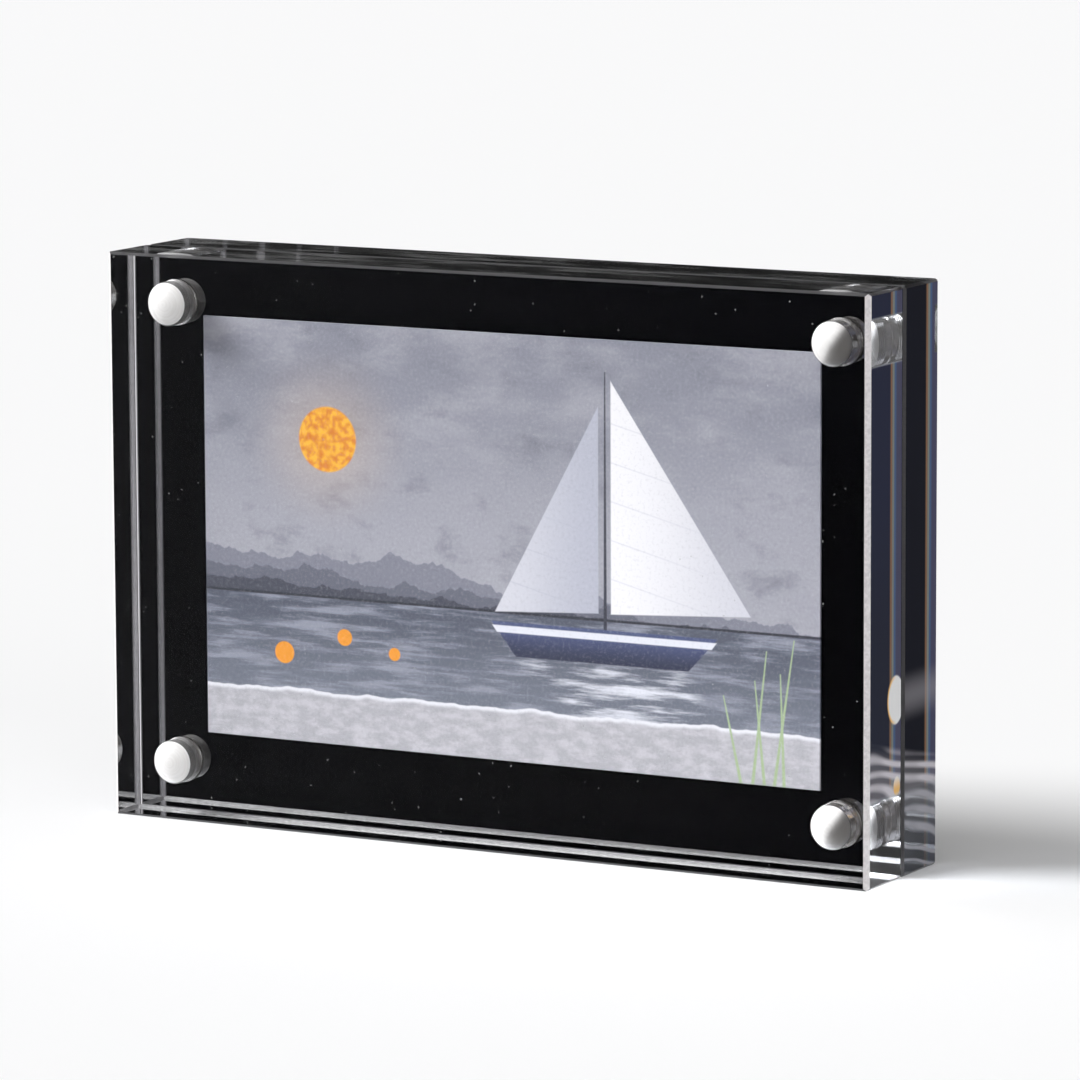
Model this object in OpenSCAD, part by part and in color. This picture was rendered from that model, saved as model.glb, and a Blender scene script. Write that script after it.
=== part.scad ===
// Clear block picture frame: two thick transparent plates that hold a small picture
// between them and are drawn together by four pairs of magnets sunk in their corners.
// Millimetres, +Z up. The front faces -Y, the origin is at the middle of the base.

/* [Picture] */
// Width of the picture card
card_w = 65; // [40:1:150]
// Height of the picture card
card_h = 40; // [25:1:100]
// Thickness of the picture card
card_t = 0.25; // [0.15:0.05:0.6]
// How far the card lies to the right of the middle
card_shift_x = 0.5; // [-0.5:0.1:0.5]
// How far the card lies above the middle
card_shift_z = 0.9; // [-0.9:0.1:0.9]
// Air between the card and each plate
card_air = 0.05; // [0.03:0.01:0.2]

/* [Plates] */
// Bare border between the picture and each side of the plates
side_border = 7.5; // [7.5:0.5:40]
// Bare border above and below the picture
level_border = 7; // [7:0.5:40]
// Thickness of the front plate
front_t = 7; // [5.5:0.5:15]
// Thickness of the rear plate
rear_t = 7; // [5.5:0.5:15]
// Polished bevel along the edges of the plates
edge_bevel = 0.25; // [0.1:0.05:0.8]
// Wider bevel along the two upright edges of the front face
upright_bevel = 0.45; // [0.1:0.05:0.8]

/* [Magnets] */
// Diameter of each magnet
magnet_d = 4; // [3:0.5:5]
// Length of each magnet
magnet_l = 2.5; // [2:0.5:3.5]
// Rounded-off rim of each magnet
magnet_rim = 0.15; // [0.05:0.05:0.3]
// Distance of the magnets' axes from the plates' edges
magnet_inset = 5; // [4:0.5:7]
// How far the magnets lie below the inner faces
magnet_recess = 0.05; // [0.02:0.01:0.2]

/* [Drilled holes] */
// Air round a magnet in its hole
hole_air = 0.05; // [0.02:0.01:0.1]
// Room behind a magnet before the drill point
hole_spare = 0.2; // [0.05:0.05:0.3]
// Angle of the drill point, in degrees
point_angle = 118; // [90:2:140]
// Bevel round the mouth of each hole
mouth_bevel = 0.15; // [0.1:0.05:0.3]
// Number of tool rings at the inner end of each hole
ring_count = 4; // [1:1:5]
// Distance from one tool ring to the next
ring_pitch = 0.4; // [0.2:0.05:0.4]
// Depth of each tool ring
ring_depth = 0.06; // [0.02:0.02:0.1]

/* [Backing] */
// Thickness of the black film on the back
backing_t = 0.12; // [0.08:0.02:0.3]
// Strip of the flat back that the film leaves bare
backing_margin = 0.05; // [0.05:0.05:1]

/* [Hidden] */

// How far a cut runs past the face that it opens
overrun = 1;
// Sides of a turned surface
turned_sides = 64;

// The plates are as large as the picture and its border
plate_w = card_w + 2 * side_border;
plate_h = card_h + 2 * level_border;

// Depth stations, from the front face to the back
plate_gap = card_t + 2 * card_air;
whole_t = front_t + plate_gap + rear_t + backing_t;
front_face_y = -whole_t / 2;
front_inner_y = front_face_y + front_t;
rear_inner_y = front_inner_y + plate_gap;
rear_back_y = rear_inner_y + rear_t;

// The drilled holes follow the magnets
hole_r = magnet_d / 2 + hole_air;
hole_wall_l = magnet_recess + magnet_l + hole_spare;
point_l = hole_r / tan(point_angle / 2);

// Places of the magnets' axes
magnet_x = plate_w / 2 - magnet_inset;
magnet_low_z = magnet_inset;
magnet_high_z = plate_h - magnet_inset;

clear_acrylic = [0.80, 0.86, 0.90, 0.35];
film_black = [0.02, 0.02, 0.03];
card_grey = [0.60, 0.61, 0.66];
nickel = [0.72, 0.72, 0.74];

// A rectangle with its corners cut off at 45 degrees, its first corner at the origin:
// by low_bevel at the two corners below, by high_bevel at the two above
module bevelled_rectangle(length, height, low_bevel, high_bevel) {
    polygon([
        [low_bevel, 0],
        [length - low_bevel, 0],
        [length, low_bevel],
        [length, height - high_bevel],
        [length - high_bevel, height],
        [high_bevel, height],
        [0, height - high_bevel],
        [0, low_bevel]
    ]);
}

// A plate with all twelve edges bevelled, standing on z = 0 behind its front face at y = 0
module bevelled_plate(thickness, front_upright_bevel) {
    translate([-plate_w / 2, 0, 0])
        intersection() {
            linear_extrude(plate_h)
                bevelled_rectangle(plate_w, thickness, front_upright_bevel, edge_bevel);
            translate([0, thickness, 0])
                rotate([90, 0, 0])
                    linear_extrude(thickness)
                        bevelled_rectangle(plate_w, plate_h, edge_bevel, edge_bevel);
            rotate([90, 0, 90])
                linear_extrude(plate_w)
                    bevelled_rectangle(thickness, plate_h, edge_bevel, edge_bevel);
        }
}

// A blind hole as the drill leaves it, bored along +Z from its mouth at z = 0:
// a bevelled mouth, a straight wall, a few tool rings and the cone of the drill point
module drilled_hole() {
    rings_start = hole_wall_l - ring_count * ring_pitch;
    rotate_extrude($fn = turned_sides)
        polygon([
            [0, -overrun],
            [hole_r + mouth_bevel, -overrun],
            [hole_r + mouth_bevel, 0],
            [hole_r, mouth_bevel],
            for (ring = [0 : ring_count - 1])
                each [
                    [hole_r, rings_start + ring * ring_pitch],
                    [hole_r + ring_depth, rings_start + ring * ring_pitch + ring_pitch / 2]
                ],
            [hole_r, hole_wall_l],
            [0, hole_wall_l + point_l]
        ]);
}

// Puts its children at the four magnet axes
module at_magnet_axes() {
    for (x = [-magnet_x, magnet_x])
        for (z = [magnet_low_z, magnet_high_z])
            translate([x, 0, z])
                children();
}

// A round magnet with softened rims, along +Z from z = 0
module magnet() {
    r = magnet_d / 2;
    rotate_extrude($fn = turned_sides)
        polygon([
            [0, 0],
            [r - magnet_rim, 0],
            [r, magnet_rim],
            [r, magnet_l - magnet_rim],
            [r - magnet_rim, magnet_l],
            [0, magnet_l]
        ]);
}

// Turns what points along +Z to point to the front, -Y
module towards_front() {
    rotate([90, 0, 0])
        children();
}

// Turns what points along +Z to point to the back, +Y
module towards_back() {
    rotate([-90, 0, 0])
        children();
}

module front_plate() {
    color(clear_acrylic)
        difference() {
            translate([0, front_face_y, 0])
                bevelled_plate(front_t, upright_bevel);
            translate([0, front_inner_y, 0])
                at_magnet_axes()
                    towards_front()
                        drilled_hole();
        }
}

module rear_plate() {
    color(clear_acrylic)
        difference() {
            translate([0, rear_inner_y, 0])
                bevelled_plate(rear_t, edge_bevel);
            translate([0, rear_inner_y, 0])
                at_magnet_axes()
                    towards_back()
                        drilled_hole();
        }
}

// The film covers the flat of the back, inside the bevels
module black_backing() {
    border = edge_bevel + backing_margin;
    color(film_black)
        translate([-plate_w / 2 + border, rear_back_y, border])
            cube([plate_w - 2 * border, backing_t, plate_h - 2 * border]);
}

module picture_card() {
    color(card_grey)
        translate([
            card_shift_x - card_w / 2,
            front_inner_y + card_air,
            plate_h / 2 + card_shift_z - card_h / 2
        ])
            cube([card_w, card_t, card_h]);
}

module front_magnet(x, z) {
    color(nickel)
        translate([x, front_inner_y - magnet_recess, z])
            towards_front()
                magnet();
}

module rear_magnet(x, z) {
    color(nickel)
        translate([x, rear_inner_y + magnet_recess, z])
            towards_back()
                magnet();
}

module front_magnet_top_left() {
    front_magnet(-magnet_x, magnet_high_z);
}

module front_magnet_top_right() {
    front_magnet(magnet_x, magnet_high_z);
}

module front_magnet_bottom_left() {
    front_magnet(-magnet_x, magnet_low_z);
}

module front_magnet_bottom_right() {
    front_magnet(magnet_x, magnet_low_z);
}

module rear_magnet_top_left() {
    rear_magnet(-magnet_x, magnet_high_z);
}

module rear_magnet_top_right() {
    rear_magnet(magnet_x, magnet_high_z);
}

module rear_magnet_bottom_left() {
    rear_magnet(-magnet_x, magnet_low_z);
}

module rear_magnet_bottom_right() {
    rear_magnet(magnet_x, magnet_low_z);
}

front_plate();
rear_plate();
black_backing();
picture_card();
front_magnet_top_left();
front_magnet_top_right();
front_magnet_bottom_left();
front_magnet_bottom_right();
rear_magnet_top_left();
rear_magnet_top_right();
rear_magnet_bottom_left();
rear_magnet_bottom_right();
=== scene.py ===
import itertools
import math

import bmesh
import bpy
from mathutils import Matrix, Vector


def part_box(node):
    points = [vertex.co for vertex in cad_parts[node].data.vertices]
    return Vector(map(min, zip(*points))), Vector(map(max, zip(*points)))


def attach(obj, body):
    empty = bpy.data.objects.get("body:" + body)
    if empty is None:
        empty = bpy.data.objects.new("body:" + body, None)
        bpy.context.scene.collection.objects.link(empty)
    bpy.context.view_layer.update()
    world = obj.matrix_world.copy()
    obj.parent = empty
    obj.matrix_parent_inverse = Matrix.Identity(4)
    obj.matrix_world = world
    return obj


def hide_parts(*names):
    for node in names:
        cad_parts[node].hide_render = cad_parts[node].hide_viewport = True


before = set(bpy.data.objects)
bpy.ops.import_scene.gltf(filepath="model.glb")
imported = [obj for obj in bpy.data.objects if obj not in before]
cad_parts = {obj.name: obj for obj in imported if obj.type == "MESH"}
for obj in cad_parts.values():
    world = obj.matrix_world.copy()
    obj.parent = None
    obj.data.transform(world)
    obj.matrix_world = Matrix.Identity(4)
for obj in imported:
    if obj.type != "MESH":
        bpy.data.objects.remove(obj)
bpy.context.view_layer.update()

MM = 0.001

# Small sizes that the frame's boxes don't give
EDGE_BEVEL = 0.25 * MM
UPRIGHT_BEVEL = 0.45 * MM
SHEET_BEVEL = 0.02 * MM
HOLE_AIR = 0.05 * MM
HOLE_SPARE = 0.2 * MM
POINT_ANGLE = math.radians(118)
MOUTH_BEVEL = 0.15 * MM
RING_COUNT = 4
RING_PITCH = 0.4 * MM
RING_DEPTH = 0.06 * MM

# How the meshes are made
CUT_OVERRUN = 1 * MM
TURNED_SIDES = 96
SHARP_ANGLE = math.radians(25)
LEVEL_ANGLE = math.radians(1)
# The part of a face's normal along an axis is above SQUARE where the face lies square to
# that axis, and below SLIGHT where the face runs along it
SQUARE = 0.99
SLIGHT = 0.01

FRONT = Vector((0, -1, 0))
BACK = Vector((0, 1, 0))
CORNERS = ("top_left", "top_right", "bottom_left", "bottom_right")


def link(name, data):
    """A new object in the scene that shows this mesh, lamp or camera."""
    thing = bpy.data.objects.new(name, data)
    bpy.context.scene.collection.objects.link(thing)
    return thing


def finished(name, bm, materials):
    """A new object made of the bmesh, with these materials in its slots."""
    mesh = bpy.data.meshes.new(name)
    bm.to_mesh(mesh)
    bm.free()
    for material in materials:
        mesh.materials.append(material)
    return link(name, mesh)


def shade_by_angle(mesh):
    """Smooth shading that keeps every edge sharper than SHARP_ANGLE crisp."""
    mesh.shade_smooth()
    mesh.set_sharp_from_angle(angle=SHARP_ANGLE)


ACRYLIC_IOR = 1.49
# The share of a lamp's light that each face of the plates lets through
LAMP_TINT = (0.96, 0.97, 0.98, 1)
# What a polished face reflects when it is seen squarely
FACE_REFLECTION = (0.0, 0.0, 0.004, 1)
WHITE = (1.0, 1.0, 1.0, 1)
# Most of a noise texture lies between these two values
NOISE_LOW = 0.3
NOISE_HIGH = 0.7


class Nodes:
    """A node tree, with short calls that add and link nodes. A value in such a call is a
    number, a colour, a vector or what another node puts out."""

    def __init__(self, tree):
        self.tree = tree

    def node(self, kind, inputs=None, **settings):
        """A new node of this kind, with these values put in its inputs."""
        node = self.tree.nodes.new("ShaderNode" + kind)
        for name, value in settings.items():
            setattr(node, name, value)
        for key, value in (inputs or {}).items():
            self.put(node.inputs[key], value)
        return node

    def put(self, socket, value):
        """Links the value to the socket if a node puts it out, or else sets it there."""
        if isinstance(value, bpy.types.NodeSocket):
            self.tree.links.new(value, socket)
        else:
            socket.default_value = value

    def math(self, operation, first, second=0.0):
        return self.node("Math", {0: first, 1: second}, operation=operation).outputs[0]

    def plus(self, first, second):
        return self.math("ADD", first, second)

    def minus(self, first, second):
        return self.math("SUBTRACT", first, second)

    def times(self, first, second):
        return self.math("MULTIPLY", first, second)

    def larger(self, first, second):
        return self.math("MAXIMUM", first, second)

    def distance(self, value, middle):
        """How far the value lies from the middle, on either side."""
        return self.math("ABSOLUTE", self.minus(value, middle))

    def ramp(self, value, low, high, to_low=0.0, to_high=1.0, shape="SMOOTHSTEP"):
        """Goes from to_low to to_high as the value goes from low to high."""
        inputs = {0: value, 1: low, 2: high, 3: to_low, 4: to_high}
        return self.node("MapRange", inputs, interpolation_type=shape).outputs[0]

    def pick(self, which, first, second):
        """The first number where which is 0, the second where it is 1."""
        return self.ramp(which, 0.0, 1.0, first, second)

    def band(self, value, middle, reach):
        """1 in the middle of a soft band, 0 past its reach on either side."""
        return self.ramp(self.distance(value, middle), 0.0, reach, 1.0, 0.0)


class Graph(Nodes):
    """The node tree of one new material."""

    def __init__(self, name):
        self.material = bpy.data.materials.new(name)
        self.material.use_nodes = True
        super().__init__(self.material.node_tree)
        self.tree.nodes.clear()
        self.output = self.node("OutputMaterial")

    def mix(self, factor, first, second):
        """The first colour where the factor is 0, the second where it is 1."""
        node = self.node("Mix", {0: factor, 6: first, 7: second}, data_type="RGBA")
        return node.outputs[2]

    def place(self):
        """The point on the piece at rest, in millimetres."""
        point = self.node("TexCoord").outputs["Object"]
        return self.node("VectorMath", {0: point, "Scale": 1 / MM}, operation="SCALE").outputs[0]

    def noise(self, point, scale=1.0, detail=3.0, roughness=0.6):
        inputs = {"Vector": point, "Scale": scale, "Detail": detail, "Roughness": roughness}
        return self.node("TexNoise", inputs).outputs[0]

    def spread(self, noise, low=0.0, high=1.0):
        """Goes from low to high over most of the noise's range."""
        return self.ramp(noise, NOISE_LOW, NOISE_HIGH, low, high)

    def stretch(self, point, factors):
        """The point with each of its parts times its factor, to draw a texture out."""
        return self.node("VectorMath", {0: point, 1: factors}, operation="MULTIPLY").outputs[0]

    def bump(self, height, distance, strength):
        """The normal of a surface that rises by distance, in metres, as height goes to 1."""
        inputs = {"Height": height, "Distance": distance, "Strength": strength}
        return self.node("Bump", inputs).outputs[0]

    def principled(self, inputs):
        return self.node("BsdfPrincipled", inputs)

    def surface(self, shader):
        self.tree.links.new(shader.outputs[0], self.output.inputs["Surface"])

    def lit_through(self, shader):
        """Shows the shader, and lets lamps shine through the surface."""
        lamp_ray = self.node("LightPath").outputs["Is Shadow Ray"]
        clear = self.node("BsdfTransparent", {"Color": LAMP_TINT})
        mixed = self.node("MixShader", {0: lamp_ray, 1: shader.outputs[0], 2: clear.outputs[0]})
        self.surface(mixed)


# Places and lengths in the materials below are in millimetres, as place() gives them. Only
# the height of a bump is in metres.

# The left bevels are a satin grey of painted shade, which runs out on the broad faces, where it is
# darker: up to RIM_REACH past the bevel, with a soft edge
LEFT_BEVEL_SHADE_GREY = (0.50, 0.487, 0.51, 1)
RIM_SHADE_GREY = (0.11, 0.107, 0.113, 1)
RIM_REACH = 0.11
RIM_SOFTNESS = 0.03
RIM_END = (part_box("front_plate")[0].x + EDGE_BEVEL) / MM + RIM_REACH
HAIRLINE = 0.0004 * MM
HAZE_ROUGHNESS = 0.03

# Specks of dust lie in the middle of some cells, those that draw a high enough chance. The
# reach and the core of a speck are shares of a cell.
CELLS_PER_MM = 0.9
NO_SPECK_BELOW = 0.7
FULL_SPECK_ABOVE = 0.95
SPECK_REACH = 0.11
SPECK_CORE = 0.05
SPECK_CLEARNESS = 0.78


def dust(graph, place):
    """1 on a few tiny specks, 0 between them."""
    cells = graph.node("TexVoronoi", {"Vector": place, "Scale": CELLS_PER_MM})
    chance = graph.node("SeparateColor", {0: cells.outputs["Color"]}).outputs[0]
    drawn = graph.ramp(chance, NO_SPECK_BELOW, FULL_SPECK_ABOVE)
    speck = graph.ramp(cells.outputs["Distance"], SPECK_REACH, SPECK_CORE)
    return graph.times(drawn, speck)


def polished_acrylic():
    """The broad faces: clear, with a breath of haze, hairlines and specks of dust, and
    with a darker rim of painted shade beside the left bevels, which lets nothing through."""
    graph = Graph("polished_acrylic")
    place = graph.place()
    clouds = graph.noise(place, scale=0.35, detail=4.0)
    haze = graph.ramp(clouds, 0.45, 0.75, 0.0, HAZE_ROUGHNESS)
    hairlines = graph.noise(graph.stretch(place, (0.6, 0.6, 14.0)), scale=1.2, roughness=0.7)
    across = graph.node("SeparateXYZ", {0: place}).outputs["X"]
    # The rim is a strip of painted shade: grey, and no longer clear
    rim = graph.ramp(across, RIM_END, RIM_END - RIM_SOFTNESS)
    clearness = graph.pick(dust(graph, place), 1.0, SPECK_CLEARNESS)
    graph.lit_through(graph.principled({
        "Base Color": graph.mix(rim, WHITE, RIM_SHADE_GREY),
        "Roughness": haze,
        "IOR": ACRYLIC_IOR,
        "Transmission Weight": graph.minus(clearness, rim),
        "Specular Tint": FACE_REFLECTION,
        "Normal": graph.bump(hairlines, HAIRLINE, strength=0.2),
    }))
    return graph.material


LEVEL_END_TINT = (0.85, 0.86, 0.90, 1)
UPRIGHT_END_TINT = (0.75, 0.78, 0.85, 1)
CUTTER_MARK = 0.002 * MM
CUTTER_ROUGHNESS = (0.03, 0.09)


def cutter_finish(graph, place):
    """The roughness and the normal of an end face, with fine cutter marks."""
    clouds = graph.noise(graph.stretch(place, (0.1, 0.6, 0.1)), detail=4.0)
    marks = graph.noise(graph.stretch(place, (2.0, 0.15, 2.0)), detail=2.0, roughness=0.5)
    roughness = graph.ramp(clouds, 0.4, 0.7, *CUTTER_ROUGHNESS)
    return roughness, graph.bump(marks, CUTTER_MARK, strength=0.2)


def milled_acrylic(name, tint):
    """The end faces that are clear all over."""
    graph = Graph(name)
    roughness, normal = cutter_finish(graph, graph.place())
    graph.lit_through(graph.principled({
        "Base Color": tint,
        "Roughness": roughness,
        "IOR": ACRYLIC_IOR,
        "Transmission Weight": 1.0,
        "Specular Tint": FACE_REFLECTION,
        "Normal": normal,
    }))
    return graph.material


# Where the plates and the right-hand holes lie
FRONT_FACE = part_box("front_plate")[0].y / MM
PLATE_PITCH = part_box("rear_plate")[0].y / MM - FRONT_FACE
GAP_MIDDLE = (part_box("front_plate")[1].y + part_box("rear_plate")[0].y) / 2 / MM
TOP_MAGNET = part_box("rear_magnet_top_right")
BOTTOM_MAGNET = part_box("rear_magnet_bottom_right")
HOLE_ACROSS = (TOP_MAGNET[0].x + TOP_MAGNET[1].x) / 2 / MM
TOP_HOLE = (TOP_MAGNET[0].z + TOP_MAGNET[1].z) / 2 / MM
BOTTOM_HOLE = (BOTTOM_MAGNET[0].z + BOTTOM_MAGNET[1].z) / 2 / MM

# The windows in the right ends through which the eye sees in. Here a depth is measured from
# each plate's front face, a height from the floor, and a reach is half a width.
WINDOW_HEIGHT = TOP_HOLE + 0.5
WINDOW_REACH = 2.3
WINDOW_SOFTNESS = 0.3
REAR_WINDOW_FROM = 6.2
LOW_WINDOW_TOP = BOTTOM_HOLE + 3.3
LOW_WINDOW_SOFTNESS = 0.8
REAR_LOW_CLEARNESS = 0.55
# Outside the windows the ends let little through, so that their painted light and shade show
CLOSED_CLEARNESS = 0.18
REAR_CLOSED_CLEARNESS = 0.12
REAR_WINDOW_TINT = (0.28, 0.30, 0.34, 1)

# The painted colours past the windows: navy as painted shade along the length of the plate, the
# paler strip of painted light that begins at STRIP_FROM, and the painted fringes there, each with
# its depth past STRIP_FROM, reach and colour
SHADE_NAVY_LOW = (0.0158, 0.020, 0.044, 1)
SHADE_NAVY_HIGH = (0.0185, 0.0235, 0.060, 1)
NAVY_HEIGHTS = (20.0, 38.0)
REAR_SHADE_NAVY = (0.005, 0.006, 0.015, 1)
STRIP_FROM = 4.6
STRIP_SOFTNESS = 0.3
PAINTED_STRIP_COLOUR = (0.095, 0.093, 0.165, 1)
PAINTED_FRINGES = (
    (0.75, 0.45, (0.09, 0.17, 0.34, 1)),
    (0.38, 0.38, (0.30, 0.33, 0.29, 1)),
    (0.0, 0.32, (0.37, 0.20, 0.11, 1)),
)

# The painted pale bars near the base, painted reflections which rise towards the front and waver,
# the painted haze on them, and the painted echo of the upper bright spot in the rear plate, which
# is painted haze as well
BARS_FULL_BELOW = 12.2
BARS_GONE_ABOVE = 13.7
BAR_FIRST = 3.25
BAR_PITCH = 1.5
BAR_SLOPE = 0.22
BAR_WAVER = 0.45
BAR_CORE = 0.05
THIN_BARS_AT = 4.0
THIN_BAR_REACH = 0.30
THICK_BARS_AT = 9.0
THICK_BAR_REACH = 0.62
BARS_DIM_BEFORE = 2.0
BARS_AT_FRONT = 0.75
BARS_IN_STRIP = 1.15
BARS_GLOW = 0.7
PAINTED_BAR_COLOUR = (0.74, 0.71, 0.76, 1)
BARS_HAZE_HEIGHT = 9.5
BARS_HAZE_REACH = 5.5
ECHO_HEIGHT = 16.6
ECHO_REACH = 2.6
PAINTED_HAZE_COLOUR = (0.52, 0.50, 0.54, 1)
PAINTED_HAZE_STRENGTH = 0.4

# The painted bright spots, painted highlights of light carried along the plates, each with its
# depth, height and reach across. They are taller than wide by 1 / SPOT_SHAPE, and warm towards the
# front and near the base. A spot fades from 1 inside to 0 outside: its colour sets in at SPOT_EDGE
# and is full at
# SPOT_RIM, as the warm rim is.
SPOT_SHAPE = 0.75
SPOT_EDGE = 0.05
SPOT_RIM = 0.4
SPOT_OUTSIDE = 0.1
SPOT_INSIDE = 0.5
FRONT_SPOTS = ((5.65, 16.65, 1.75), (5.95, 8.7, 0.75))
REAR_SPOTS = ((7.05, 6.0, 0.60),)
SPOTS_WARM_BEFORE = 4.6
SPOTS_WHITE_BEHIND = 6.0
SPOTS_WARM_BELOW = 8.3
SPOTS_WHITE_ABOVE = 9.9
PAINTED_WARM_COLOUR = (1.0, 0.62, 0.22, 1)


class RightEnd:
    """Where a point lies on the plates' right ends, and what light and shade is painted there."""

    def __init__(self, graph, place):
        self.graph = graph
        self.place = place
        split = graph.node("SeparateXYZ", {0: place})
        self.height = split.outputs["Z"]
        self.is_rear = graph.math("GREATER_THAN", split.outputs["Y"], GAP_MIDDLE)
        self.is_front = graph.minus(1.0, self.is_rear)
        behind = graph.minus(split.outputs["Y"], FRONT_FACE)
        self.depth = graph.minus(behind, graph.times(self.is_rear, PLATE_PITCH))
        self.leaning = graph.plus(self.height, graph.times(behind, BAR_SLOPE))

    def window(self):
        """1 where the eye sees in, beside the top holes and near the base, 0 elsewhere."""
        graph = self.graph
        beside = graph.ramp(graph.distance(self.height, WINDOW_HEIGHT),
                            WINDOW_REACH, WINDOW_REACH - WINDOW_SOFTNESS)
        past_middle = graph.math("GREATER_THAN", self.depth, REAR_WINDOW_FROM)
        beside = graph.times(beside, graph.larger(self.is_front, past_middle))
        low = graph.ramp(self.height, LOW_WINDOW_TOP, LOW_WINDOW_TOP - LOW_WINDOW_SOFTNESS)
        low = graph.times(low, graph.pick(self.is_rear, 1.0, REAR_LOW_CLEARNESS))
        return graph.larger(beside, low)

    def painted_spots(self, places):
        """1 inside the painted bright spots at these places, 0 outside."""
        graph = self.graph
        inside = 0.0
        for depth, height, reach in places:
            across = graph.minus(self.depth, depth)
            upward = graph.times(graph.minus(self.height, height), SPOT_SHAPE)
            point = graph.node("CombineXYZ", {0: across, 1: upward}).outputs[0]
            away = graph.node("VectorMath", {0: point}, operation="LENGTH").outputs["Value"]
            spot = graph.ramp(away, reach + SPOT_OUTSIDE, reach - SPOT_INSIDE)
            inside = graph.larger(inside, spot)
        return inside

    def all_spots(self):
        """1 inside the painted bright spots of both plates, 0 outside."""
        graph = self.graph
        front = graph.times(self.painted_spots(FRONT_SPOTS), self.is_front)
        rear = graph.times(self.painted_spots(REAR_SPOTS), self.is_rear)
        return graph.larger(front, rear)

    def spot_colour(self, painted_spots):
        """The painted spots' colour: white, with a warm rim towards the front. The front plate's
        lower spot is warm.
        """
        graph = self.graph
        rim = graph.ramp(painted_spots, 1.0, SPOT_RIM)
        warm = graph.times(rim, graph.ramp(self.depth, SPOTS_WHITE_BEHIND, SPOTS_WARM_BEFORE))
        low = graph.ramp(self.height, SPOTS_WHITE_ABOVE, SPOTS_WARM_BELOW)
        return graph.mix(graph.larger(warm, graph.times(low, self.is_front)), WHITE, PAINTED_WARM_COLOUR)

    def bars_fade(self, window):
        """How clearly the painted bars show: near the base, save in the front plate's windows."""
        graph = self.graph
        fade = graph.ramp(self.leaning, BARS_GONE_ABOVE, BARS_FULL_BELOW)
        return graph.times(fade, graph.minus(1.0, graph.times(window, self.is_front)))

    def painted_bars(self, fade):
        """Up to about 1 on the painted bars, which get thicker with height, 0 between them."""
        graph = self.graph
        waves = graph.noise(graph.stretch(self.place, (0.0, 0.14, 0.3)), detail=0.0)
        row = graph.plus(self.leaning, graph.ramp(waves, 0.2, 0.8, -BAR_WAVER, BAR_WAVER))
        off_bar = graph.math("PINGPONG", graph.minus(row, BAR_FIRST), BAR_PITCH / 2)
        reach = graph.ramp(self.leaning, THIN_BARS_AT, THICK_BARS_AT,
                           THIN_BAR_REACH, THICK_BAR_REACH)
        painted_bars = graph.times(graph.ramp(off_bar, reach, BAR_CORE), fade)
        brightness = graph.ramp(self.depth, BARS_DIM_BEFORE, STRIP_FROM,
                                BARS_AT_FRONT, BARS_IN_STRIP)
        return graph.times(painted_bars, brightness)

    def haze(self, fade):
        """1 where the painted haze is full, on the painted bars and in the painted echo, 0 where
        there is none.
        """
        graph = self.graph
        low = graph.times(graph.band(self.leaning, BARS_HAZE_HEIGHT, BARS_HAZE_REACH), fade)
        echo = graph.times(graph.band(self.height, ECHO_HEIGHT, ECHO_REACH), self.is_rear)
        return graph.larger(low, echo)

    def painted_deep_colour(self):
        """The painted colours of the plates' length: navy as painted shade, with the painted paler
        strip and its fringes.
        """
        graph = self.graph
        navy = graph.mix(graph.ramp(self.height, *NAVY_HEIGHTS), SHADE_NAVY_LOW, SHADE_NAVY_HIGH)
        colour = graph.mix(self.is_rear, navy, REAR_SHADE_NAVY)
        strip = graph.ramp(self.depth, STRIP_FROM, STRIP_FROM + STRIP_SOFTNESS)
        colour = graph.mix(strip, colour, PAINTED_STRIP_COLOUR)
        for past, reach, fringe in PAINTED_FRINGES:
            colour = graph.mix(graph.band(self.depth, STRIP_FROM + past, reach), colour, fringe)
        return colour


def right_ends_with_painted_light():
    """The right ends, painted with light and shade. They are painted deep blue into the length of
    the plates, as painted shade, save in windows beside the top holes and near the base. Light
    that a plate carries along from its far end is painted on as a strip with coloured fringes,
    bright spots, and bars with some haze."""
    graph = Graph("milled_right_end_painted_light")
    place = graph.place()
    end = RightEnd(graph, place)
    window = end.window()
    painted_spots = end.all_spots()
    fade = end.bars_fade(window)
    painted_bars = end.painted_bars(fade)
    haze = graph.times(end.haze(fade), PAINTED_HAZE_STRENGTH)
    colour = graph.mix(haze, end.painted_deep_colour(), PAINTED_HAZE_COLOUR)
    colour = graph.mix(painted_bars, colour, PAINTED_BAR_COLOUR)
    shown = graph.ramp(painted_spots, SPOT_EDGE, SPOT_RIM)
    colour = graph.mix(shown, colour, end.spot_colour(painted_spots))
    tint = graph.mix(end.is_rear, UPRIGHT_END_TINT, REAR_WINDOW_TINT)
    closed = graph.pick(end.is_rear, CLOSED_CLEARNESS, REAR_CLOSED_CLEARNESS)
    # Where the painted spots and bars lie, the end is less clear, so that their painted colour
    # shows
    glow = graph.larger(painted_spots, graph.times(painted_bars, BARS_GLOW))
    clearness = graph.minus(graph.larger(window, closed), glow)
    roughness, normal = cutter_finish(graph, place)
    graph.lit_through(graph.principled({
        "Base Color": graph.mix(window, colour, tint),
        "Roughness": roughness,
        "IOR": ACRYLIC_IOR,
        "Transmission Weight": graph.larger(clearness, 0.0),
        "Specular IOR Level": 0.0,
        "Specular Tint": FACE_REFLECTION,
        "Normal": normal,
    }))
    return graph.material


# The bevels' colours are painted light and shade: dark grey on most bevels, and white on the wide
# front bevels as a painted highlight
BEVEL_SHADE_GREY = (0.09, 0.087, 0.095, 1)
WIDE_BEVEL_HIGHLIGHT_WHITE = (1.0, 0.96, 0.97, 1)
WORN_SHARE = 0.8
CHATTER = 0.02 * MM
BEVEL_ROUGHNESS = (0.30, 0.45)


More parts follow.
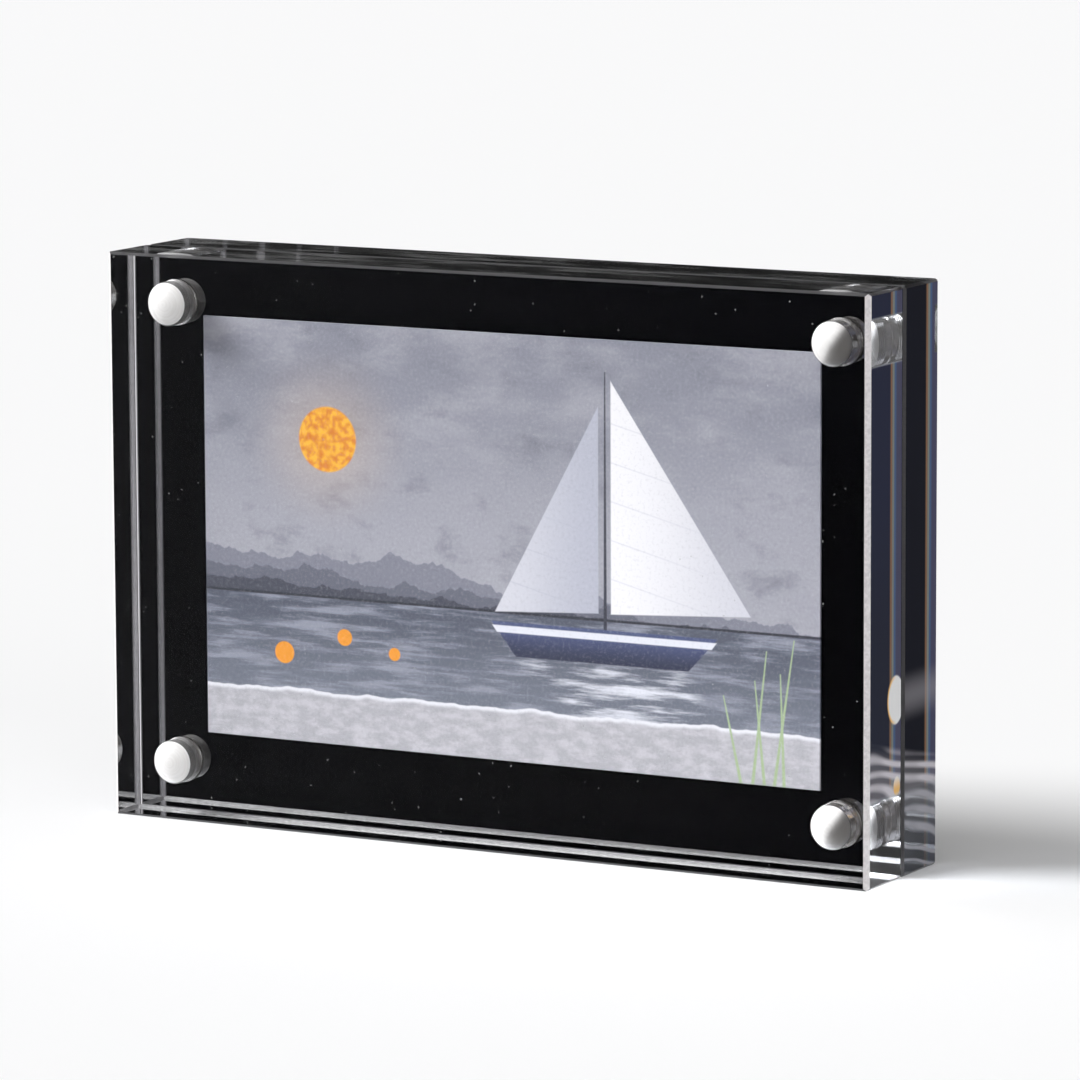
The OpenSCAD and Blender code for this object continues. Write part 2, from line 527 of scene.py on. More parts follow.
def bevel_acrylic(name, colour, clear):
    """Bevels left satin by the cutter, in a colour of painted light and shade, and a little darker
    where they are worn.
    """
    graph = Graph(name)
    chatter = graph.noise(graph.place(), scale=3.0)
    worn = tuple(WORN_SHARE * part for part in colour[:3]) + (1,)
    graph.lit_through(graph.principled({
        "Base Color": graph.mix(graph.spread(chatter), worn, colour),
        "Roughness": graph.spread(chatter, *BEVEL_ROUGHNESS),
        "IOR": ACRYLIC_IOR,
        "Transmission Weight": clear,
        "Normal": graph.bump(chatter, CHATTER, strength=0.4),
    }))
    return graph.material


# The holes' frosting, with painted shade in the grooves between the tool rings and on the lower
# right of the right-hand holes. Along a hole, places are measured from the middle of the gap, to
# either side. The lower right painted shade is measured from a hole's axis, towards its lower
# right.
RINGS_END = (TOP_MAGNET[1].y + HOLE_SPARE) / MM - GAP_MIDDLE
RINGS_REACH = RING_COUNT * RING_PITCH / MM / 2
RINGS_MIDDLE = RINGS_END - RINGS_REACH
RINGS_MARGIN = 0.025
GROOVE_REACH = 0.10
GROOVE_CORE = 0.03
GROOVE_SHADE_COLOUR = (0.01, 0.01, 0.01, 1)
GROOVE_STRENGTH = 0.85
HOLES_MIDDLE = (TOP_HOLE + BOTTOM_HOLE) / 2
HOLES_HALF_PITCH = (TOP_HOLE - BOTTOM_HOLE) / 2
SHADE_DROP_SHARE = 0.6
SHADE_FROM = -0.4
SHADE_FULL = 1.2
SHADE_COLOUR = (0.09, 0.08, 0.075, 1)
SHADE_STRENGTH = 0.8
FROST_GRAIN = 0.01 * MM
FROST_UNEVEN = 0.07


def ring_grooves(graph, depth):
    """1 in the grooves between the tool rings, painted dark as painted shade, 0 elsewhere in the
    holes.
    """
    along = graph.distance(depth, GAP_MIDDLE)
    off_ring = graph.math("PINGPONG", graph.minus(along, RINGS_END), RING_PITCH / MM / 2)
    groove = graph.ramp(off_ring, GROOVE_REACH, GROOVE_CORE)
    from_middle = graph.distance(along, RINGS_MIDDLE)
    return graph.times(groove, graph.math("LESS_THAN", from_middle, RINGS_REACH + RINGS_MARGIN))


def from_axis(graph, value, middle, half_pitch):
    """How far a value lies past the nearer of the two rows of holes beside the middle."""
    off_middle = graph.minus(value, middle)
    return graph.minus(off_middle, graph.times(graph.math("SIGN", off_middle), half_pitch))


def drilled_acrylic(name, dark, pale, clear, shaded_clear, satin, right_satin):
    """Bores and drill points left frosted by the drill, in streaks of two colours. The
    grooves between the tool rings are painted dark as painted shade. The holes on the right
    have a roughness of their own and carry painted shade on their lower right side, where
    shaded_clear takes the place of clear."""
    graph = Graph(name)
    place = graph.place()
    split = graph.node("SeparateXYZ", {0: place})
    right_side = graph.math("GREATER_THAN", split.outputs["X"], 0.0)
    off_x = from_axis(graph, split.outputs["X"], 0.0, HOLE_ACROSS)
    off_z = from_axis(graph, split.outputs["Z"], HOLES_MIDDLE, HOLES_HALF_PITCH)
    lower_right = graph.minus(off_x, graph.times(off_z, SHADE_DROP_SHARE))
    shade = graph.times(graph.ramp(lower_right, SHADE_FROM, SHADE_FULL), right_side)
    grain = graph.noise(place, scale=5.0, detail=4.0, roughness=0.65)
    swirl = graph.noise(graph.stretch(place, (0.4, 9.0, 0.4)), roughness=0.7)
    frosting = graph.mix(graph.ramp(swirl, 0.38, 0.62), dark, pale)
    frosting = graph.mix(graph.times(shade, SHADE_STRENGTH), frosting, SHADE_COLOUR)
    groove = graph.times(ring_grooves(graph, split.outputs["Y"]), GROOVE_STRENGTH)
    uneven = graph.spread(grain, -FROST_UNEVEN, FROST_UNEVEN)
    graph.lit_through(graph.principled({
        "Base Color": graph.mix(groove, frosting, GROOVE_SHADE_COLOUR),
        "Roughness": graph.plus(uneven, graph.pick(right_side, satin, right_satin)),
        "IOR": ACRYLIC_IOR,
        "Transmission Weight": graph.pick(shade, clear, shaded_clear),
        "Normal": graph.bump(grain, FROST_GRAIN, strength=0.2),
    }))
    return graph.material


# The bores are painted far darker than the drill points, as painted shade inside them
WALL_DARK = (0.05, 0.043, 0.038, 1)
WALL_PALE = (0.15, 0.136, 0.126, 1)
POINT_DARK = (0.93, 0.91, 0.89, 1)
POINT_PALE = (1.0, 0.985, 0.965, 1)

# The kinds of surface on a plate, each an index into its list of materials
BROAD, LEVEL_END, LEFT_END, RIGHT_END, BEVEL, LEFT_BEVEL, WIDE_BEVEL, WALL, POINT = range(9)
plate_materials = [
    polished_acrylic(),
    milled_acrylic("milled_level_end", LEVEL_END_TINT),
    milled_acrylic("milled_left_end", UPRIGHT_END_TINT),
    right_ends_with_painted_light(),
    # The bevels differ in painted shade and a painted highlight
    bevel_acrylic("bevel", BEVEL_SHADE_GREY, clear=0.80),
    bevel_acrylic("left_bevel", LEFT_BEVEL_SHADE_GREY, clear=0.0),
    bevel_acrylic("wide_bevel", WIDE_BEVEL_HIGHLIGHT_WHITE, clear=0.0),
    drilled_acrylic("drilled_wall", WALL_DARK, WALL_PALE,
                    clear=0.55, shaded_clear=0.20, satin=0.35, right_satin=0.17),
    drilled_acrylic("drilled_point", POINT_DARK, POINT_PALE,
                    clear=0.15, shaded_clear=0.92, satin=0.42, right_satin=0.42),
]

NICKEL = (0.38, 0.37, 0.355, 1)
WORN_NICKEL = (0.31, 0.30, 0.29, 1)
NICKEL_WEAR = 0.01 * MM
NICKEL_ROUGHNESS = (0.22, 0.4)


def nickel():
    """The magnets' plating, duller where it is worn."""
    graph = Graph("nickel")
    wear = graph.noise(graph.place(), scale=2.2, detail=4.0)
    graph.surface(graph.principled({
        "Base Color": graph.mix(graph.ramp(wear, 0.35, 0.7), NICKEL, WORN_NICKEL),
        "Metallic": 1.0,
        "Roughness": graph.spread(wear, *NICKEL_ROUGHNESS),
        "Normal": graph.bump(wear, NICKEL_WEAR, strength=0.4),
    }))
    return graph.material


FILM_GRAIN = 0.02 * MM
FILM_ROUGHNESS = (0.42, 0.6)


def black_film_painted_shade(name, dark, pale, gloss):
    """A side of the black film, a dark sheet of painted shade, with a faint grain."""
    graph = Graph(name)
    grain = graph.noise(graph.place(), scale=1.6, detail=5.0)
    graph.surface(graph.principled({
        "Base Color": graph.mix(graph.ramp(grain, 0.4, 0.75), dark, pale),
        "Roughness": graph.spread(grain, *FILM_ROUGHNESS),
        "Specular IOR Level": gloss,
        "Normal": graph.bump(grain, FILM_GRAIN, strength=0.3),
    }))
    return graph.material


# The picture is a plain sea view, in millimetres from the card's lower left corner
CARD_TOP = (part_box("picture_card")[1].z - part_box("picture_card")[0].z) / MM
PRINT_SOFTNESS = 0.07
PRINT_ROUGHNESS = (0.42, 0.55)
PAPER_GRAIN = 0.01 * MM
DARK_GRAIN = (0.06, 0.06, 0.08, 1)
DARK_GRAIN_STRENGTH = 0.11
PALE_GRAIN = (0.80, 0.80, 0.84, 1)
PALE_GRAIN_STRENGTH = 0.09

HORIZON = 14.0
SKY_LOW = (0.37, 0.37, 0.42, 1)
SKY_HIGH = (0.23, 0.235, 0.285, 1)
PALE_CLOUD = (0.34, 0.34, 0.39, 1)
DARK_CLOUD = (0.17, 0.175, 0.215, 1)
DARK_CLOUD_STRENGTH = 0.75

SUN = (13.5, 29.0)
SUN_RADIUS = 3.1
SUN_SOFTNESS = 0.12
HALO_SHARE = 1.5
HALO_SOFTNESS_SHARE = 1.6
HALO_STRENGTH = 0.35
HALO_COLOUR = (0.62, 0.46, 0.34, 1)
SUN_DARK = (0.68, 0.20, 0.015, 1)
SUN_BRIGHT = (0.88, 0.46, 0.035, 1)

# Each row of hills has its height, the scale of its ridge, its fall to the right and its
# colour. It is sunk by a share of its height.
HILLS = (
    (5.6, 0.07, 0.060, (0.205, 0.21, 0.26, 1)),
    (3.4, 0.13, 0.048, (0.125, 0.13, 0.17, 1)),
    (1.7, 0.22, 0.030, (0.055, 0.06, 0.085, 1)),
)
HILLS_SUNK_SHARE = 0.2

SHORE = 4.6
SEA_NEAR = (0.15, 0.165, 0.21, 1)
SEA_FAR = (0.08, 0.09, 0.125, 1)
RIPPLE_COLOUR = (0.27, 0.285, 0.35, 1)
HORIZON_REACH = 0.12
HORIZON_COLOUR = (0.02, 0.022, 0.035, 1)

KEEL = 9.9
DECK = 13.1
HULL = ((33.6, KEEL), (51.6, KEEL), (54.6, DECK), (31.0, DECK))
HULL_STRIPE = ((31.6, 12.1), (54.0, 12.1), (54.5, 12.75), (31.1, 12.75))
HULL_LOW = (0.02, 0.025, 0.06, 1)
HULL_HIGH = (0.07, 0.09, 0.20, 1)
STRIPE_COLOUR = (0.72, 0.73, 0.80, 1)
GLITTER = ((40.0, SHORE), (54.0, SHORE), (51.0, KEEL), (34.0, KEEL))
GLITTER_SOFTNESS = 1.2
GLITTER_COLOUR = (0.70, 0.71, 0.78, 1)

MAST_FOOT = (43.0, 12.6)
MAST_TOP = (43.0, 37.0)
MAST_WIDTH = 0.34
MAST_COLOUR = (0.03, 0.032, 0.05, 1)
JIB = ((31.4, 14.0), (42.3, 14.6), (42.3, 33.8))
MAIN_SAIL = ((43.6, 14.6), (58.0, 15.4), (43.6, 36.2))
# Each sail has its outline and its colours at the left and at the right
SAILS = (
    (JIB, (0.62, 0.62, 0.68, 1), (0.44, 0.45, 0.53, 1)),
    (MAIN_SAIL, (0.84, 0.83, 0.86, 1), (0.60, 0.60, 0.66, 1)),
)
SEAM_PITCH = 3.6
SEAM_WIDTH = 0.12
SEAM_SLOPE = 0.25
SEAM_STRENGTH = 0.5

BUOYS = (((8.6, 8.4), 1.05), ((15.2, 10.3), 0.8), ((20.6, 9.1), 0.62))
BUOY_COLOUR = (0.80, 0.30, 0.02, 1)
SHORE_WAVE = 1.6
FOAM_WIDTH = 0.35
FOAM_COLOUR = (0.74, 0.74, 0.79, 1)
SAND_SOFTNESS = 0.2
SAND_DARK = (0.40, 0.395, 0.43, 1)
SAND_PALE = (0.52, 0.51, 0.55, 1)
GRASS = (
    ((58.2, 0.0), (59.6, 12.4)), ((59.4, 0.0), (58.4, 9.6)), ((60.4, 0.0), (62.4, 13.6)),
    ((61.4, 0.0), (61.0, 10.4)), ((57.0, 0.0), (55.2, 8.0)),
)
GRASS_WIDTH = 0.34
GRASS_COLOUR = (0.36, 0.46, 0.27, 1)


class Picture:
    """Paints shapes over each other on the card, in millimetres from its lower left corner."""

    def __init__(self, graph, corner):
        self.graph = graph
        offset = (-corner.x / MM, 0, -corner.z / MM)
        point = graph.node("VectorMath", {0: graph.place(), 1: offset}, operation="ADD").outputs[0]
        self.point = graph.stretch(point, (1, 0, 1))
        split = graph.node("SeparateXYZ", {0: self.point})
        self.across = split.outputs["X"]
        self.height = split.outputs["Z"]
        self.colour = (0, 0, 0, 1)

    def noise(self, scale, stretch=(1, 1, 1), detail=3.0):
        return self.graph.noise(self.graph.stretch(self.point, stretch), scale, detail)

    def inside(self, distance, softness=PRINT_SOFTNESS):
        """1 where the distance is below zero, 0 where it is above."""
        return self.graph.ramp(distance, -softness, softness, 1.0, 0.0)

    def paint(self, mask, colour):
        """Lays the colour over what is painted so far, where the mask is 1."""
        self.colour = self.graph.mix(mask, self.colour, colour)

    def line_distance(self, first, second):
        """How far a point lies to the right of the line from the first point to the second."""
        along = Vector(second) - Vector(first)
        outward = Vector((along.y, -along.x)).normalized()
        inputs = {0: self.point, 1: (outward.x, 0, outward.y)}
        reach = self.graph.node("VectorMath", inputs, operation="DOT_PRODUCT").outputs["Value"]
        return self.graph.minus(reach, outward.dot(Vector(first)))

    def polygon_distance(self, corners):
        """Distance outside a convex outline whose corners run anticlockwise."""
        sides = [self.line_distance(a, b) for a, b in zip(corners, corners[1:] + corners[:1])]
        distance = sides[0]
        for side in sides[1:]:
            distance = self.graph.larger(distance, side)
        return distance

    def disc_distance(self, centre, radius):
        """Distance outside a disc."""
        inputs = {0: self.point, 1: (centre[0], 0, centre[1])}
        reach = self.graph.node("VectorMath", inputs, operation="DISTANCE").outputs["Value"]
        return self.graph.minus(reach, radius)

    def stroke(self, foot, top, width):
        """A straight stroke that tapers to a third of its width from its foot to its top."""
        low = Vector(foot)
        high = Vector(top)
        along = (high - low).normalized()
        side = Vector((along.y, -along.x)) * width / 2
        corners = (low - side, low + side, high + side / 3, high - side / 3)
        return self.inside(self.polygon_distance(corners))


def paint_sky(picture):
    """A sky that darkens upwards, pale and dark clouds, and the halo of the sun."""
    graph = picture.graph
    picture.colour = graph.mix(graph.ramp(picture.height, HORIZON, CARD_TOP), SKY_LOW, SKY_HIGH)
    pale = graph.ramp(picture.noise(0.09, (1, 1, 2.4), detail=5.0), 0.42, 0.68)
    picture.paint(pale, PALE_CLOUD)
    dark = graph.ramp(picture.noise(0.16, (1, 1, 1.8), detail=5.0), 0.50, 0.75)
    picture.paint(graph.times(dark, DARK_CLOUD_STRENGTH), DARK_CLOUD)
    halo = picture.disc_distance(SUN, SUN_RADIUS * HALO_SHARE)
    halo = picture.inside(halo, SUN_RADIUS * HALO_SOFTNESS_SHARE)
    picture.paint(graph.times(halo, HALO_STRENGTH), HALO_COLOUR)


def paint_sun(picture):
    """The mottled disc of the sun."""
    grain = picture.graph.ramp(picture.noise(1.6, detail=4.0), 0.38, 0.62)
    disc = picture.inside(picture.disc_distance(SUN, SUN_RADIUS), SUN_SOFTNESS)
    picture.paint(disc, picture.graph.mix(grain, SUN_DARK, SUN_BRIGHT))


def paint_hills(picture):
    """The rows of hills, from the farthest to the nearest, falling to the right."""
    graph = picture.graph
    for height, scale, fall, colour in HILLS:
        ridge = graph.times(picture.noise(scale, (1, 1, 0), detail=6.0), 2 * height)
        ridge = graph.plus(ridge, HORIZON - HILLS_SUNK_SHARE * height)
        top = graph.minus(ridge, graph.times(picture.across, fall))
        picture.paint(picture.inside(graph.minus(picture.height, top)), colour)


def paint_sea(picture):
    """Rippled water up to the dark line of the horizon, with glitter below the boat."""
    graph = picture.graph
    water = picture.inside(graph.minus(picture.height, HORIZON))
    ripples = graph.ramp(picture.noise(0.35, (0.35, 1, 3.2), detail=5.0), 0.44, 0.66)
    base = graph.mix(graph.ramp(picture.height, SHORE, HORIZON), SEA_NEAR, SEA_FAR)
    picture.paint(water, graph.mix(ripples, base, RIPPLE_COLOUR))
    off_horizon = graph.distance(picture.height, HORIZON)
    picture.paint(picture.inside(graph.minus(off_horizon, HORIZON_REACH)), HORIZON_COLOUR)
    glitter = picture.inside(picture.polygon_distance(GLITTER), GLITTER_SOFTNESS)
    picture.paint(graph.times(glitter, ripples), GLITTER_COLOUR)


def paint_sail(picture, outline, left_colour, right_colour):
    """One sail, shaded from side to side, with slanting seams."""
    graph = picture.graph
    left = min(corner[0] for corner in outline)
    right = max(corner[0] for corner in outline)
    cloth = graph.mix(graph.ramp(picture.across, left, right), left_colour, right_colour)
    sail = picture.inside(picture.polygon_distance(outline))
    picture.paint(sail, cloth)
    leaning = graph.plus(picture.height, graph.times(picture.across, SEAM_SLOPE))
    off_seam = graph.math("PINGPONG", leaning, SEAM_PITCH / 2)
    seam = picture.inside(graph.minus(off_seam, SEAM_WIDTH / 2))
    picture.paint(graph.times(graph.times(seam, sail), SEAM_STRENGTH), right_colour)


def paint_boat(picture):
    """The sails, the mast and the striped hull."""
    graph = picture.graph
    for outline, left_colour, right_colour in SAILS:
        paint_sail(picture, outline, left_colour, right_colour)
    picture.paint(picture.stroke(MAST_FOOT, MAST_TOP, MAST_WIDTH), MAST_COLOUR)
    hull = graph.mix(graph.ramp(picture.height, KEEL, DECK), HULL_LOW, HULL_HIGH)
    picture.paint(picture.inside(picture.polygon_distance(HULL)), hull)
    picture.paint(picture.inside(picture.polygon_distance(HULL_STRIPE)), STRIPE_COLOUR)


def paint_shore(picture):
    """The buoys, the beach with its line of foam, and the grass."""
    graph = picture.graph
    for centre, radius in BUOYS:
        picture.paint(picture.inside(picture.disc_distance(centre, radius)), BUOY_COLOUR)
    wave = graph.times(picture.noise(0.16, (1, 1, 0)), SHORE_WAVE)
    above = graph.minus(graph.minus(picture.height, SHORE - SHORE_WAVE / 2), wave)
    picture.paint(picture.inside(graph.minus(above, FOAM_WIDTH)), FOAM_COLOUR)
    grain = graph.ramp(picture.noise(0.5, (1, 1, 2), detail=6.0), 0.4, 0.65)
    picture.paint(picture.inside(above, SAND_SOFTNESS), graph.mix(grain, SAND_DARK, SAND_PALE))
    for foot, top in GRASS:
        picture.paint(picture.stroke(foot, top, GRASS_WIDTH), GRASS_COLOUR)


def printed_card(corner):
    """Satin photo paper with the picture printed on it."""
    graph = Graph("printed_card")
    picture = Picture(graph, corner)
    paint_sky(picture)
    paint_sun(picture)
    paint_hills(picture)
    paint_sea(picture)
    paint_boat(picture)
    paint_shore(picture)
    grain = picture.noise(3.2)
    picture.paint(graph.ramp(grain, 0.50, 0.72, 0.0, DARK_GRAIN_STRENGTH), DARK_GRAIN)
    picture.paint(graph.ramp(grain, 0.50, 0.28, 0.0, PALE_GRAIN_STRENGTH), PALE_GRAIN)
    graph.surface(graph.principled({
        "Base Color": picture.colour,
        "Roughness": graph.spread(grain, *PRINT_ROUGHNESS),
        "Normal": graph.bump(grain, PAPER_GRAIN, strength=0.3),
    }))
    return graph.material


CARD_WHITE = (0.84, 0.84, 0.85, 1)
CARD_FIBRE = (0.78, 0.78, 0.79, 1)
STOCK_ROUGHNESS = (0.6, 0.75)


def card_stock():
    """The card's plain white back."""
    graph = Graph("card_stock")
    fibres = graph.noise(graph.place(), scale=2.5, detail=5.0)
    graph.surface(graph.principled({
        "Base Color": graph.mix(graph.ramp(fibres, 0.35, 0.7), CARD_WHITE, CARD_FIBRE),
        "Roughness": graph.spread(fibres, *STOCK_ROUGHNESS),
        "Normal": graph.bump(fibres, PAPER_GRAIN, strength=0.3),
    }))
    return graph.material


def corner_points(low, high, edge, front_upright):
    """The 32 corners of a box with its edges bevelled by edge, and the two upright edges
    at its front by front_upright, which is at most twice as wide."""
    points = []
    for sides in itertools.product((False, True), repeat=3):
        corner = Vector(high[i] if sides[i] else low[i] for i in range(3))
        inward = Vector(-1 if sides[i] else 1 for i in range(3))
        is_back = sides[1]
        upright = edge if is_back else front_upright
        for inset in (
            (0, upright, edge),
            (upright, 0, edge),
            (edge, edge, 0),
            (upright / 2, upright / 2, edge - upright / 2),
        ):
            points.append(corner + inward * Vector(inset))
    return points


def bevelled_block(low, high, edge, front_upright, kind):
    """A block with all twelve edges bevelled; kind gives the material index for a normal."""
    bm = bmesh.new()
    for point in corner_points(low, high, edge, front_upright):
        bm.verts.new(point)
    bmesh.ops.convex_hull(bm, input=bm.verts)
    bmesh.ops.dissolve_limit(bm, angle_limit=LEVEL_ANGLE, verts=bm.verts, edges=bm.edges)
    bm.normal_update()
    for face in bm.faces:
        face.material_index = kind(face.normal)
    return bm


def rear_plate_kind(normal):
    """The rear plate's kind of surface that faces this way."""
    across, deep, tall = (abs(part) > SQUARE for part in normal)
    if deep:
        return BROAD
    if tall:
        return LEVEL_END
    if across:
        return RIGHT_END if normal.x > 0 else LEFT_END
    is_left = normal.x < -SLIGHT and abs(normal.z) < SLIGHT
    return LEFT_BEVEL if is_left else BEVEL


def front_plate_kind(normal):
    """As on the rear plate, but with the wide bevels of the front's upright edges."""
    is_wide = abs(normal.z) < SLIGHT and -SQUARE < normal.y < -SLIGHT
    return WIDE_BEVEL if is_wide else rear_plate_kind(normal)


def drill_profile(radius, wall):
    """Radius and depth of each ring of points on a drill, with the kind of surface that
    follows it: an overrun, a bevelled mouth and tool rings, up to the drill's point."""
    rings_start = wall - RING_COUNT * RING_PITCH
    profile = [
        (radius + MOUTH_BEVEL, -CUT_OVERRUN, WALL),
        (radius + MOUTH_BEVEL, 0, WALL),
        (radius, MOUTH_BEVEL, WALL),
    ]
    for ring in range(RING_COUNT):
        start = rings_start + ring * RING_PITCH
        profile.append((radius, start, WALL))
        profile.append((radius + RING_DEPTH, start + RING_PITCH / 2, WALL))
    profile.append((radius, wall, POINT))
    return profile


def drill(mouth, direction, radius, wall):
    """The solid that a drill takes out, turned about its axis."""
    profile = drill_profile(radius, wall)
    point_length = radius / math.tan(POINT_ANGLE / 2)
    across = Vector((1, 0, 0))
    up = direction.cross(across)
    bm = bmesh.new()
    rings = []
    for ring_radius, along, _ in profile:
        ring = []
        for i in range(TURNED_SIDES):
            turn = math.tau * i / TURNED_SIDES
            spoke = across * math.cos(turn) + up * math.sin(turn)
            ring.append(bm.verts.new(mouth + direction * along + spoke * ring_radius))
        rings.append(ring)
    tip = bm.verts.new(mouth + direction * (wall + point_length))
    bm.faces.new(reversed(rings[0]))
    for (near, far), (_, _, kind) in zip(zip(rings, rings[1:]), profile):
        for i in range(TURNED_SIDES):
            j = (i + 1) % TURNED_SIDES
            face = bm.faces.new((near[i], near[j], far[j], far[i]))
            face.material_index = kind
    last = rings[-1]
    for i in range(TURNED_SIDES):
        face = bm.faces.new((last[i], last[(i + 1) % TURNED_SIDES], tip))
        face.material_index = POINT
    bmesh.ops.recalc_face_normals(bm, faces=bm.faces)
    return bm


def cut(block, cutter):
    """Takes the cutter out of the block, keeps its materials and removes it."""
    modifier = block.modifiers.new("cut", "BOOLEAN")
    modifier.operation = "DIFFERENCE"
    modifier.solver = "EXACT"
    modifier.material_mode = "TRANSFER"
    modifier.object = cutter
    depsgraph = bpy.context.evaluated_depsgraph_get()
    mesh = bpy.data.meshes.new_from_object(block.evaluated_get(depsgraph))
    block.modifiers.clear()
    block.data = mesh
    bpy.data.objects.remove(cutter)


def acrylic_plate(node, side, direction, front_upright, kind):
    """One clear plate; its holes open on the inner face and point along direction."""
    low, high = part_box(node)
    inner_y = low.y if direction.y > 0 else high.y
    bm = bevelled_block(low, high, EDGE_BEVEL, front_upright, kind)
    block = finished(node + "_clear", bm, plate_materials)
    for corner in CORNERS:
        magnet_low, magnet_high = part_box(f"{side}_magnet_{corner}")
        centre = (magnet_low + magnet_high) / 2
        radius = (magnet_high.x - magnet_low.x) / 2 + HOLE_AIR
        end_y = magnet_high.y if direction.y > 0 else magnet_low.y
        wall = abs(end_y - inner_y) + HOLE_SPARE
        mouth = Vector((centre.x, inner_y, centre.z))
        cutter = finished("drill", drill(mouth, direction, radius, wall), plate_materials)
        cut(block, cutter)
    shade_by_angle(block.data)
    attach(block, side)
    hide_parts(node)


acrylic_plate("front_plate", "front", FRONT, UPRIGHT_BEVEL, front_plate_kind)
acrylic_plate("rear_plate", "rear", BACK, EDGE_BEVEL, rear_plate_kind)

magnet_material = nickel()
for side in ("front", "rear"):
    for corner in CORNERS:
        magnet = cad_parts[f"{side}_magnet_{corner}"]
        magnet.data.materials.clear()
        magnet.data.materials.append(magnet_material)


def sheet_kind(normal):
    """A sheet's second material is on its back, its first elsewhere."""
    return 1 if normal.y > SQUARE else 0


def sheet(name, low, high, body, node, materials):
    """A thin sheet with softened edges."""
    bm = bevelled_block(low, high, SHEET_BEVEL, SHEET_BEVEL, sheet_kind)
    piece = finished(name, bm, materials)
    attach(piece, body)
    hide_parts(node)


# The black film is a dark sheet of painted shade, which stands in for the dark room seen through
# the clear plates
# A breath of air between the film and the plate, which keeps the plate's back a mirror
# for the light that runs along inside it
FILM_AIR = 0.01 * MM
# How far the film is drawn out to hide the bare strip round it
FILM_TRIM = 0.05 * MM
FILM_INSIDE_DARK = (0.0004, 0.0004, 0.0006, 1)
FILM_INSIDE_PALE = (0.0015, 0.0015, 0.002, 1)
FILM_OUTSIDE_DARK = (0.006, 0.006, 0.007, 1)
FILM_OUTSIDE_PALE = (0.014, 0.014, 0.017, 1)

film_low, film_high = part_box("black_backing")
film_low.y += FILM_AIR
film_low -= Vector((FILM_TRIM, 0, FILM_TRIM))
film_high += Vector((FILM_TRIM, 0, FILM_TRIM))
sheet("backing_film_of_painted_shade", film_low, film_high, "rear", "black_backing", [
    black_film_painted_shade("film_bonded", FILM_INSIDE_DARK, FILM_INSIDE_PALE, gloss=0.0),
    black_film_painted_shade("film_outside", FILM_OUTSIDE_DARK, FILM_OUTSIDE_PALE, gloss=0.4),
])

card_low, card_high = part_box("picture_card")
sheet("printed_picture_card", card_low, card_high, "card", "picture_card",
      [printed_card(card_low), card_stock()])

# The stage, in metres
STAGE_GAP = 0.02 * MM
FLOOR_RADIUS = 30.0
FLOOR_SIDES = 96
FLOOR_COLOUR = (0.95, 0.95, 0.955, 1)
WORLD_LEVEL = 0.02
BACKDROP_TOP = math.radians(5.3)
BACKDROP_EDGE = math.radians(0.4)


def floor():
    """A wide round floor, a hair below the block."""
    graph = Graph("floor")
    graph.surface(graph.principled({
        "Base Color": FLOOR_COLOUR,
        "Roughness": 0.9,
        "Specular IOR Level": 0.0,
    }))
    bm = bmesh.new()
    bmesh.ops.create_circle(bm, cap_ends=True, segments=FLOOR_SIDES, radius=FLOOR_RADIUS)
    bmesh.ops.translate(bm, vec=(0, 0, -STAGE_GAP), verts=bm.verts)
    return finished("floor", bm, [graph.material])


floor()


def studio():
    """A nearly dark room with a pale backdrop round the floor, up to a low height. The
    backdrop shows to the eye, in gloss and through glass, and adds no light."""
    world = bpy.data.worlds.new("studio")
    world.use_nodes = True
    nodes = Nodes(world.node_tree)
    background = nodes.tree.nodes["Background"]
    path = nodes.node("LightPath").outputs
    seen = nodes.larger(path["Is Camera Ray"], path["Is Glossy Ray"])
    seen = nodes.larger(seen, path["Is Transmission Ray"])
    direction = nodes.node("TexCoord").outputs["Generated"]
    upward = nodes.node("SeparateXYZ", {0: direction}).outputs["Z"]
    edge = math.sin(BACKDROP_TOP + BACKDROP_EDGE)
    backdrop = nodes.ramp(upward, edge, math.sin(BACKDROP_TOP), WORLD_LEVEL, 1.0, "LINEAR")
    strength = nodes.ramp(seen, 0.0, 1.0, WORLD_LEVEL, backdrop, "LINEAR")
    nodes.put(background.inputs["Color"], FLOOR_COLOUR)
    nodes.put(background.inputs["Strength"], strength)
    bpy.context.scene.world = world


studio()


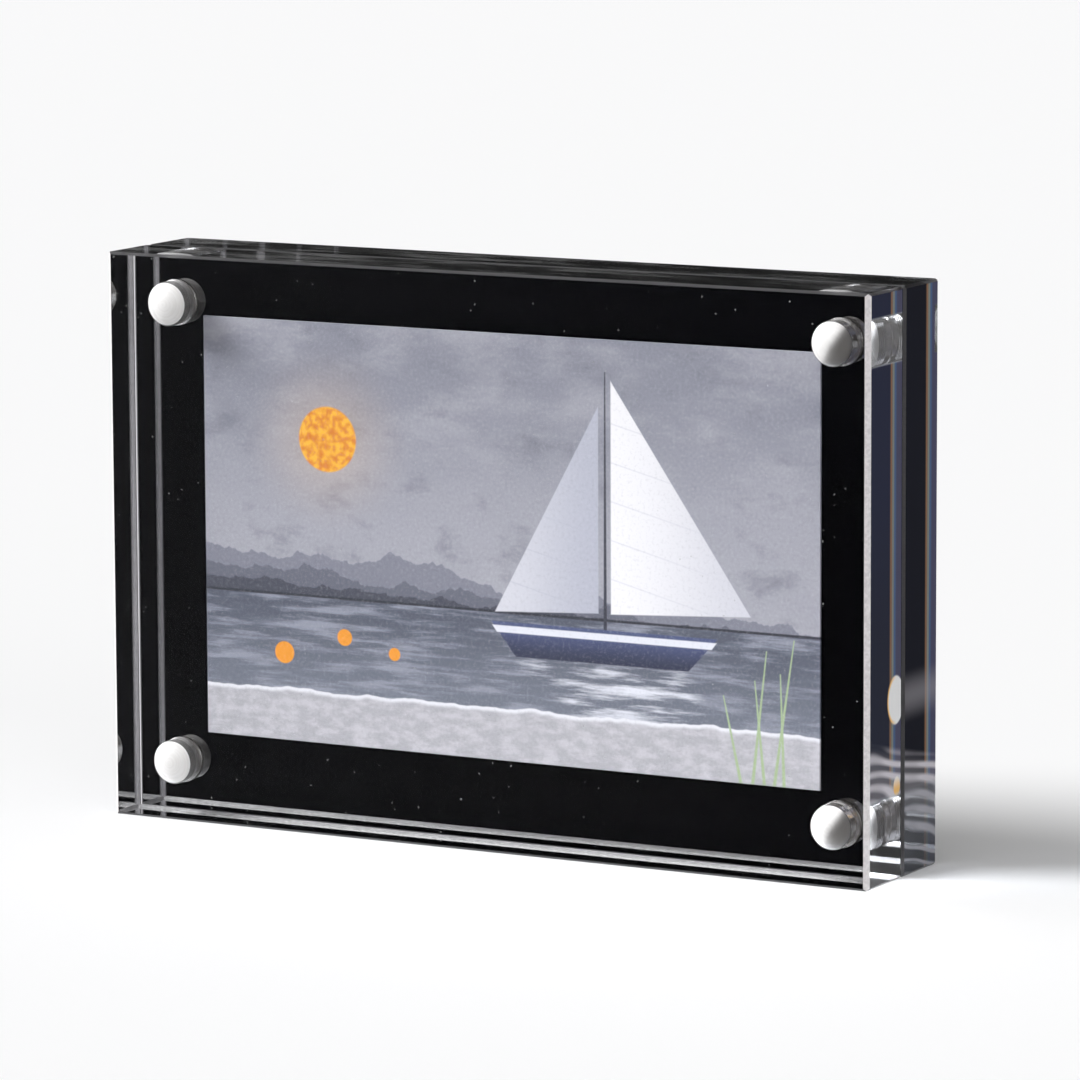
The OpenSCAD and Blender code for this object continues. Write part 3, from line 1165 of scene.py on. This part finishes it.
def wide_light(name, direction, width, level):
    """Soft light from far away, which adds this level to a white floor."""
    towards = Vector(direction).normalized()
    lamp = link(name, bpy.data.lights.new(name, "SUN"))
    lamp.data.angle = math.radians(width)
    lamp.data.energy = level * math.pi / towards.z
    lamp.rotation_euler = towards.to_track_quat("Z", "Y").to_euler()


# Each lamp has the direction towards it, its width in degrees and its level
LAMPS = (
    ("key", (-0.80, -0.36, 0.60), 24, 0.56),
    ("ceiling", (-0.02, -0.10, 1.0), 70, 0.38),
    ("side", (0.80, -0.50, 0.40), 30, 0.04),
)
for name, direction, width, level in LAMPS:
    wide_light(name, direction, width, level)

# The camera, solved from the corners of the block in the photograph
CAMERA_AZIMUTH = math.radians(28.858)
CAMERA_ELEVATION = math.radians(8.613)
CAMERA_ROLL = math.radians(-0.26)
CAMERA_DISTANCE = 607.99 * MM
CAMERA_RIGHT = 2.162 * MM
CAMERA_UP = 27.929 * MM
CAMERA_SEES_FROM = 10 * MM
CAMERA_SEES_TO = 100.0
# The lens and the sensor, in millimetres as Blender counts them
LENS = 216.386
SENSOR = 36.0

back = Vector((
    math.sin(CAMERA_AZIMUTH) * math.cos(CAMERA_ELEVATION),
    -math.cos(CAMERA_AZIMUTH) * math.cos(CAMERA_ELEVATION),
    math.sin(CAMERA_ELEVATION),
))
level_right = Vector((0, 0, 1)).cross(back).normalized()
level_up = back.cross(level_right)
right = level_right * math.cos(CAMERA_ROLL) + level_up * math.sin(CAMERA_ROLL)
up = level_up * math.cos(CAMERA_ROLL) - level_right * math.sin(CAMERA_ROLL)
turn = Matrix((right, up, back)).transposed()
stand = back * CAMERA_DISTANCE + right * CAMERA_RIGHT + up * CAMERA_UP
camera = link("camera", bpy.data.cameras.new("camera"))
camera.data.lens = LENS
camera.data.sensor_width = SENSOR
camera.data.clip_start = CAMERA_SEES_FROM
camera.data.clip_end = CAMERA_SEES_TO
camera.matrix_world = Matrix.Translation(stand) @ turn.to_4x4()
bpy.context.scene.camera = camera

bpy.context.scene.view_settings.view_transform = "Standard"
